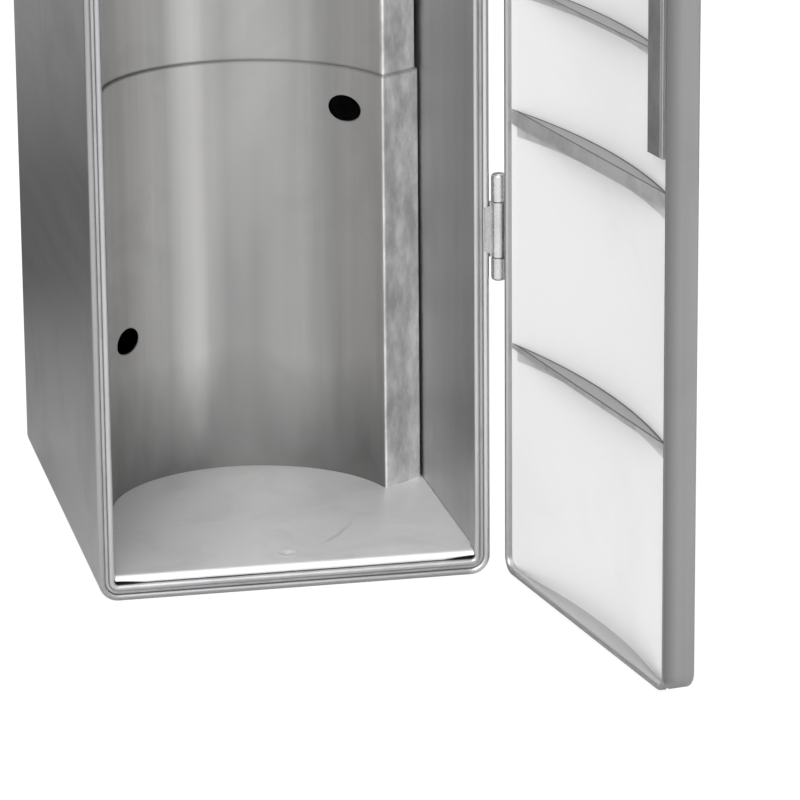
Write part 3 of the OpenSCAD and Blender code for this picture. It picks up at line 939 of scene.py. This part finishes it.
class CABINET_OT_door_pan(bpy.types.Operator):
    """Makes the door's pan with its hemmed rim"""

    bl_idname = "cabinet.door_pan"
    bl_label = "Door pan"

    def execute(self, context):
        s = context.scene.door_sizes
        bend = 0.002
        section = [(bend, s.thick - s.sheet),
                   *arc(bend, s.thick - bend, bend - s.sheet, 90, 180, 5), (s.sheet, s.rim),
                   (s.rim, s.rim), *reversed(hem(s.rim)),
                   *arc(bend, s.thick - bend, bend, 180, 90, 6)]
        rings = run_round(WIDTH, HEIGHT - 2 * s.short, s.corner, section, door_place)
        verts, faces = loft(rings)
        size = len(section)
        faces = [f for f in faces if {f[0] % size, f[1] % size} != {0, size - 1}]
        faces += [tuple(range(0, len(verts), size)), tuple(range(size - 1, len(verts), size))]
        made = piece("door_pan_sheet", verts, faces)
        combine(made, [lock_drill(LOCK_HOLE)])
        finish(made, "door", ["door_pan"], finishes()["door"])
        return {"FINISHED"}


def lock_drill(radius):
    """A tool for the lock's hole through the door."""
    return turned("drill", [(0, -0.01), (radius, -0.01), (radius, 0.03), (0, 0.03)],
                  lambda a, b, h: door_place(LOCK_X + a, h, b), 48)


def stack_tree():
    """Nodes that stand copies of one piece on points, each as tall as its point says."""
    if "stack_pieces" in bpy.data.node_groups:
        return bpy.data.node_groups["stack_pieces"]
    tree = bpy.data.node_groups.new("stack_pieces", "GeometryNodeTree")
    for label, kind in (("Geometry", "NodeSocketGeometry"), ("Piece", "NodeSocketObject"),
                        ("Material", "NodeSocketMaterial")):
        tree.interface.new_socket(label, in_out="INPUT", socket_type=kind)
    tree.interface.new_socket("Geometry", in_out="OUTPUT", socket_type="NodeSocketGeometry")
    given, out = tree.nodes.new("NodeGroupInput"), tree.nodes.new("NodeGroupOutput")
    source = tree.nodes.new("GeometryNodeObjectInfo")
    tall = tree.nodes.new("GeometryNodeInputNamedAttribute")
    tall.data_type = "FLOAT"
    tall.inputs["Name"].default_value = "tall"
    size = tree.nodes.new("ShaderNodeCombineXYZ")
    size.inputs["X"].default_value = size.inputs["Y"].default_value = 1
    stand = tree.nodes.new("GeometryNodeInstanceOnPoints")
    real = tree.nodes.new("GeometryNodeRealizeInstances")
    paint = tree.nodes.new("GeometryNodeSetMaterial")
    for a, b in ((given.outputs["Piece"], source.inputs["Object"]),
                 (tall.outputs["Attribute"], size.inputs["Z"]),
                 (given.outputs["Geometry"], stand.inputs["Points"]),
                 (source.outputs["Geometry"], stand.inputs["Instance"]),
                 (size.outputs[0], stand.inputs["Scale"]), (stand.outputs[0], real.inputs[0]),
                 (real.outputs[0], paint.inputs["Geometry"]),
                 (given.outputs["Material"], paint.inputs["Material"]),
                 (paint.outputs[0], out.inputs[0])):
        tree.links.new(a, b)
    return tree


def stacked(name, source, levels, material):
    """Copies of a source piece, one unit tall, at each (height, tall) pair of the shut door."""
    mesh = bpy.data.meshes.new(name)
    mesh.from_pydata([(0, 0, z) for z, _ in levels], [], [])
    mesh.attributes.new("tall", "FLOAT", "POINT").data.foreach_set("value", [t for _, t in levels])
    made = bpy.data.objects.new(name, mesh)
    bpy.context.scene.collection.objects.link(made)
    stack = made.modifiers.new("stack", "NODES")
    stack.node_group = stack_tree()
    named = {item.name: item.identifier for item in stack.node_group.interface.items_tree
             if item.item_type == "SOCKET" and item.in_out == "INPUT"}
    stack[named["Piece"]], stack[named["Material"]] = source, material
    apply_modifiers(made)
    bpy.data.objects.remove(source)
    if "tall" in made.data.attributes:
        made.data.attributes.remove(made.data.attributes["tall"])
    return made


def shut(x, out, z):
    """A point of the shut door in the front plane's frame, before it is swung open."""
    return Vector((x, FRONT - out, z))


def bow_circle(s):
    """Radius of the inner panels' bow, and its centre's distance out from the front."""
    span = WIDTH / 2 - s.rim
    radius = (span ** 2 + s.bow ** 2) / (2 * s.bow)
    return radius, s.gap + s.rim + s.bow - radius


def bow_arc(s, offset, half, steps=64):
    """The inner panels' arc seen from above, moved towards the outside by an offset."""
    radius, centre = bow_circle(s)
    return [(x, centre + math.sqrt((radius + offset) ** 2 - x * x))
            for x in (-half + 2 * half * k / steps for k in range(steps + 1))]


def curved_sheet(name, s, near, far, half):
    """A sheet one unit tall that follows the bow between two offsets, standing on height zero."""
    outline = bow_arc(s, near, half) + list(reversed(bow_arc(s, far, half)))
    return piece(name, *sheet_loft([[shut(x, out, z) for x, out in outline] for z in (0.0, 1.0)]))


def rib_levels():
    """Each rib's height and the drop of its front flange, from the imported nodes."""
    found = []
    for index, drop in enumerate((*RIB_DROPS, *reversed(RIB_DROPS)), start=1):
        found.append((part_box(f"door_rib_{index}")[1].z - TAB_RISE, drop))
    return found


class CABINET_OT_door_panels(bpy.types.Operator):
    """Makes the seven bowed white panels inside the door"""

    bl_idname = "cabinet.door_panels"
    bl_label = "Door panels"

    def execute(self, context):
        s = context.scene.door_sizes
        source = curved_sheet("panel_source", s, 0.0, s.panel, WIDTH / 2 - s.rim)
        names = [f"door_panel_{i}" for i in range(1, 8)]
        levels = [(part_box(n)[0].z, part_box(n)[1].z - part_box(n)[0].z) for n in names]
        made = stacked("door_panels", source, levels, finishes()["white"])
        made.data.transform(ON_DOOR)
        combine(made, [lock_drill(PANEL_HOLE)])
        finish(made, "door", names, finishes()["white"])
        return {"FINISHED"}


class CABINET_OT_ribs(bpy.types.Operator):
    """Makes the lens-shaped ribs with their flanges and end tabs"""

    bl_idname = "cabinet.ribs"
    bl_label = "Door ribs"

    def execute(self, context):
        s = context.scene.door_sizes
        lens_half, tab = WIDTH / 2 - s.rim - 0.003, 0.006
        lip = s.gap + s.rim
        outline = bow_arc(s, 0.0, lens_half) + [(lens_half, lip), (-lens_half, lip)]
        plate = prism("plate", outline, 0.0, 1.0, shut)
        flange = block("flange", (-lens_half, lip, 0), (lens_half, lip + s.rib, 1.0), shut)
        levels = rib_levels()
        whole = stacked("door_rib_plates", plate, [(z - s.rib, s.rib) for z, _ in levels],
                        finishes()["rib"])
        fronts = stacked("door_rib_flanges", flange, [(z - d, d) for z, d in levels],
                         finishes()["rib"])
        tabs = []
        for side in (-1, 1):
            inner, outer = sorted((side * (WIDTH / 2 - s.rim), side * (WIDTH / 2 - s.rim - tab)))
            source = block("tab", (inner, lip, 0), (outer, lip + s.rib, 1.0), shut)
            tabs.append(stacked("door_rib_tabs", source, [(z - d, d) for z, d in levels],
                                finishes()["rib"]))
        combine(whole, [fronts, *tabs], "UNION")
        combine(whole, [channel_space(CHANNEL_PLAY)])
        whole.name = "door_ribs"
        soften(whole, 0.0002)
        whole.data.transform(ON_DOOR)
        finish(whole, "door", [f"door_rib_{i}" for i in range(1, 7)],
               finishes()["rib"])
        return {"FINISHED"}


def channel_space(grow):
    """The room that the stiffening channel takes."""
    return block("space", (CHANNEL_X[0] - grow, 0.0, CHANNEL_Z[0] - grow),
                 (CHANNEL_X[1] + grow, 0.03, CHANNEL_Z[1] + grow), shut)


class CABINET_OT_strips(bpy.types.Operator):
    """Makes the pale strip below each rib"""

    bl_idname = "cabinet.strips"
    bl_label = "Edge strips"

    def execute(self, context):
        s = context.scene.door_sizes
        source = curved_sheet("strip_source", s, -0.0006, 0.0, WIDTH / 2 - s.rim - 0.006)
        levels = [(z - d - s.strip, s.strip) for z, d in rib_levels()]
        made = stacked("door_strips", source, levels, finishes()["strip"])
        combine(made, [channel_space(CHANNEL_PLAY)])
        made.data.transform(ON_DOOR)
        finish(made, "door", ["door_edge_strips"], finishes()["strip"])
        return {"FINISHED"}


class CABINET_OT_channel(bpy.types.Operator):
    """Makes the stiffening channel beside the door's free edge"""

    bl_idname = "cabinet.channel"
    bl_label = "Lock channel"

    def execute(self, context):
        s = context.scene.door_sizes
        face, thick, groove, groove_deep = s.gap + CHANNEL_PLAY, 0.001, 0.0008, 0.0006
        free, hinged = CHANNEL_X
        behind = [out for x, out in bow_arc(s, 0.0, WIDTH / 2 - s.rim, 400) if free <= x <= hinged]
        bead, floor = free + CHANNEL_BEAD, face + groove_deep
        outline = [(free, face), (bead, face), (bead, floor), (bead + groove, floor),
                   (bead + groove, face), (hinged, face), (hinged, behind[-1]),
                   (hinged - thick, behind[-1]), (hinged - thick, face + thick),
                   (free + thick, face + thick), (free + thick, behind[0]), (free, behind[0])]
        made = prism("door_channel", outline, *CHANNEL_Z, shut)
        soften(made, 0.0004, 3)
        made.data.transform(ON_DOOR)
        combine(made, [lock_drill(LOCK_HOLE)])
        finish(made, "door", ["lock_channel"], finishes()["channel"])
        return {"FINISHED"}


class CABINET_OT_hinges(bpy.types.Operator):
    """Makes both hinges: the cabinet's leaves and the door's bullet-ended knuckles"""

    bl_idname = "cabinet.hinges"
    bl_label = "Hinges"

    def execute(self, context):
        for side in ("lower", "upper"):
            leaf(side)
            knuckles(side)
        return {"FINISHED"}


def leaf(side):
    """The cabinet's half of a hinge."""
    low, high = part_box(side + "_hinge_leaf")
    z0, z1, taper, sheet = low.z, high.z, 0.003, 0.0015
    saddle = WIDTH / 2 - 0.0027

    def around(a, b, h):
        return Vector((HINGE.x + a, HINGE.y + b, h))

    made = turned(side + "_hinge_leaf_sheet",
                  [(0, z0), (BARREL - CHAMFER, z0), (BARREL, z0 + CHAMFER), (BARREL, z1 - CHAMFER),
                   (BARREL - CHAMFER, z1), (0, z1)], around)
    plate = prism("saddle",
                  [(saddle, z0 + taper), (HINGE.x, z0), (HINGE.x, z1), (saddle, z1 - taper)], 0.0,
                  0.0012, lambda x, z, out: Vector((x, FRONT - out, z)))
    wing = block("wing", (WIDTH / 2, 0, z0 + taper), (WIDTH / 2 + sheet, 0.014, z1 - taper),
                 lambda x, y, z: Vector((x, FRONT + y, z)))
    web = block("web", (WIDTH / 2, -0.0002, z0), (HINGE.x, sheet, z1),
                lambda x, y, z: Vector((x, FRONT + y, z)))
    combine(made, [plate, wing, web], "UNION")
    bore = [(0, z0 - 0.001), (BORE, z0 - 0.001), (BORE, z1 + 0.001), (0, z1 + 0.001)]
    combine(made, [turned("bore", bore, around, 32)])
    finish(made, "cabinet", [side + "_hinge_leaf"], finishes()["hinge"])


def knuckles(side):
    """The door's two knuckles of a hinge, each with its web to the door's side."""
    low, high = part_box(side + "_hinge_knuckles")
    leaf_low, leaf_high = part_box(side + "_hinge_leaf")
    play = 0.0003
    web_near, web_far, web_reach, bore_low = 0.0012, 0.0036, 0.0044, 0.0025
    parts = []
    for base, tip, sign in ((low.z, leaf_low.z - play, 1), (high.z, leaf_high.z + play, -1)):
        tall = abs(tip - base)

        def around(a, b, h, base=base, sign=sign):
            return Vector((HINGE.x + a, HINGE.y + b, base + sign * h))

        solid = turned("knuckle",
                       [(0, 0), *arc(BARREL - BULLET, BULLET, BULLET, -90, 0, 8),
                        (BARREL, tall - CHAMFER), (BARREL - CHAMFER, tall), (0, tall)], around)
        plate = block("web", (-web_reach, -web_far, 0.001), (0, -web_near, tall), around)
        combine(solid, [plate], "UNION")
        bore = turned("bore", [(0, bore_low), (PIN_BORE, bore_low), (PIN_BORE, tall + 0.001),
                                (0, tall + 0.001)], around, 32)
        combine(solid, [bore])
        parts.append(solid)
    made = parts[0]
    combine(made, [parts[1]], "UNION")
    made.name = side + "_hinge_knuckle_pair"
    made.data.transform(ON_DOOR)
    finish(made, "door", [side + "_hinge_knuckles"], finishes()["hinge"])


class CABINET_OT_lock(bpy.types.Operator):
    """Makes the lock's barrel on the outside of the door"""

    bl_idname = "cabinet.lock"
    bl_label = "Lock barrel"

    def execute(self, context):
        s = context.scene.door_sizes
        face, lip, tail = s.thick, 0.0018, -0.0166
        outer = [(0.00405, tail), (0.0055, tail), (0.006, tail + 0.0005), (0.006, face),
                 (0.010, face), (0.010, face + 0.0008), *arc(0.009, face + 0.0008, 0.001, 0, 90, 6),
                 (0.0062, face + lip), (0.0056, face + lip - 0.0004),
                 (0.00505, face + lip - 0.0006), (0.00505, face + lip - 0.0012),
                 (0.00405, face + lip - 0.0012)]
        rings = [[door_place(LOCK_X + r * math.cos(a), h, r * math.sin(a)) for r, h in outer]
                 for a in (2 * math.pi * k / 64 for k in range(64))]
        made = piece("lock_barrel_body", *loft(rings))
        finish(made, "door", ["lock_barrel"], finishes()["chrome"])
        return {"FINISHED"}


class CABINET_OT_kept(bpy.types.Operator):
    """Gives the frame's own small pieces their finishes"""

    bl_idname = "cabinet.kept"
    bl_label = "Small pieces"

    def execute(self, context):
        made = finishes()
        for name, finish_name in (("back_panel", "shell"), ("groove_spacer", "dark"),
                                  ("floor_battens", "lining"), ("ceiling_battens", "lining"),
                                  ("lock_nut", "hinge"), ("lock_plug", "chrome"),
                                  ("lock_cam", "hinge"), ("cam_screw", "hinge"),
                                  ("lower_hinge_pin", "hinge"), ("upper_hinge_pin", "hinge")):
            node = frame["nodes"][name]
            node.data.materials.clear()
            node.data.materials.append(made[finish_name])
        return {"FINISHED"}


class CABINET_OT_stage(bpy.types.Operator):
    """Makes the floor, the light and the camera"""

    bl_idname = "cabinet.stage"
    bl_label = "Stage"

    def execute(self, context):
        look = context.scene.stage_look
        make_floor(look)
        make_world(look)
        make_lights()
        make_camera(look)
        context.scene.view_settings.view_transform = "Standard"
        return {"FINISHED"}


def for_camera(tree, others, camera, output):
    """Shows the camera one shader and every other ray another."""
    seen = tree.nodes.new("ShaderNodeLightPath")
    choose = tree.nodes.new("ShaderNodeMixShader")
    for source, socket in ((seen.outputs["Is Camera Ray"], choose.inputs[0]),
                           (others.outputs[0], choose.inputs[1]),
                           (camera.outputs[0], choose.inputs[2]),
                           (choose.outputs[0], tree.nodes[output].inputs["Surface"])):
        tree.links.new(source, socket)


def make_floor(look):
    """A wide pale floor: plain to the camera, darker behind the cabinet to everything else."""
    size = 14.0
    made = piece("floor", [(-size, -size, 0), (size, -size, 0), (size, size, 0), (-size, size, 0)],
                 [(0, 1, 2, 3)])
    made.data.transform(Matrix.Translation((0, 0, -0.0002)))
    material, tree, shader = new_material("pale_floor", 0.0, 0.9)
    deep = split(tree, mapped(tree))["Y"]
    near, far = spread(tree, deep, -0.15, 0.5), spread(tree, deep, 0.75, 1.3)
    behind = mix_colour(tree, near, (look.floor,) * 3, (0.16 * look.floor,) * 3)
    tree.links.new(mix_colour(tree, far, behind, (0.5 * look.floor,) * 3),
                   shader.inputs["Base Color"])
    shader.inputs["Specular IOR Level"].default_value = 0.0
    glow = tree.nodes.new("ShaderNodeEmission")
    glow.inputs["Strength"].default_value = 0.96
    both = tree.nodes.new("ShaderNodeAddShader")
    pale = tree.nodes.new("ShaderNodeBsdfDiffuse")
    pale.inputs["Color"].default_value = (0.1, 0.1, 0.1, 1)
    tree.links.new(glow.outputs[0], both.inputs[0])
    tree.links.new(pale.outputs[0], both.inputs[1])
    for_camera(tree, shader, both, "Material Output")
    made.data.materials.append(material)


def make_world(look):
    """Soft surroundings, brighter in front than behind, and white to the camera."""
    world = bpy.data.worlds.new("studio")
    bpy.context.scene.world = world
    world.use_nodes = True
    tree = world.node_tree
    ground = tree.nodes["Background"]
    ground.inputs["Color"].default_value = (1, 1, 1, 1)
    ahead = split(tree, tree.nodes.new("ShaderNodeTexCoord").outputs["Generated"])["Y"]
    tree.links.new(spread(tree, ahead, -0.6, 0.9, 1.7 * look.world, 0.45 * look.world),
                   ground.inputs["Strength"])
    white = tree.nodes.new("ShaderNodeBackground")
    white.inputs["Strength"].default_value = 1.0
    for_camera(tree, ground, white, "World Output")


def area(name, place, target, size, power):
    """A soft square light aimed at a point."""
    data = bpy.data.lights.new(name, "AREA")
    data.shape, data.size, data.size_y, data.energy = "RECTANGLE", size[0], size[1], power
    lamp = bpy.data.objects.new(name, data)
    lamp.location = place
    lamp.rotation_euler = (Vector(target) - Vector(place)).to_track_quat("-Z", "Y").to_euler()
    bpy.context.scene.collection.objects.link(lamp)
    return lamp


def make_lights():
    """Three soft lights: front left, front right and above."""
    area("key", (-0.6, -2.2, 1.9), (0, 0, 0.2), (1.2, 1.2), 30)
    area("side", (1.8, -1.2, 1.2), (0, 0, 0.3), (1.0, 1.6), 12)
    area("top", (0.0, 0.4, 2.4), (0, 0, 0.3), (1.6, 1.6), 14)


def make_camera(look):
    """The camera, low in pitch and a little to the left, with no shift."""
    pitch, yaw, roll = 0.286497, 0.205977, -0.00842687
    ahead = Vector((math.sin(yaw) * math.cos(pitch), math.cos(yaw) * math.cos(pitch),
                    -math.sin(pitch)))
    right = Vector((math.cos(yaw), -math.sin(yaw), 0))
    up = right.cross(ahead)
    right, up = (math.cos(roll) * right + math.sin(roll) * up,
                 math.cos(roll) * up - math.sin(roll) * right)
    data = bpy.data.cameras.new("camera")
    data.lens, data.sensor_width = look.lens, 36
    camera = bpy.data.objects.new("camera", data)
    camera.matrix_world = Matrix.Translation((-0.415053, -2.377995, 0.770256)) @ Matrix(
        (right, up, -ahead)).transposed().to_4x4()
    data.clip_start, data.clip_end = 0.05, 60
    bpy.context.scene.collection.objects.link(camera)
    bpy.context.scene.camera = camera


class CABINET_PT_panel(bpy.types.Panel):
    """Lists the cabinet's pieces"""

    bl_idname = "CABINET_PT_panel"
    bl_label = "Standpipe cabinet"
    bl_space_type = "VIEW_3D"
    bl_region_type = "UI"
    bl_category = "Cabinet"

    def draw(self, context):
        for operator in OPERATORS:
            self.layout.operator(operator.bl_idname)


OPERATORS = (CABINET_OT_stage, CABINET_OT_shell, CABINET_OT_lining, CABINET_OT_end_plates,
             CABINET_OT_cradle, CABINET_OT_door_pan, CABINET_OT_door_panels, CABINET_OT_ribs,
             CABINET_OT_strips, CABINET_OT_channel, CABINET_OT_hinges, CABINET_OT_lock,
             CABINET_OT_kept)
GROUPS = {"cabinet_sizes": CabinetSizes, "cradle_sizes": CradleSizes, "door_sizes": DoorSizes,
          "finish_look": FinishLook, "stage_look": StageLook}


def register():
    for made in (*GROUPS.values(), *OPERATORS, CABINET_PT_panel):
        bpy.utils.register_class(made)
    for name, made in GROUPS.items():
        setattr(bpy.types.Scene, name, PointerProperty(type=made))


def unregister():
    for name in GROUPS:
        delattr(bpy.types.Scene, name)
    for made in reversed((*GROUPS.values(), *OPERATORS, CABINET_PT_panel)):
        bpy.utils.unregister_class(made)


def main():
    """Registers the add-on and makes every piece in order."""
    register()
    for operator in OPERATORS:
        family, name = operator.bl_idname.split(".")
        getattr(getattr(bpy.ops, family), name)()


if __name__ == "__main__":
    main()
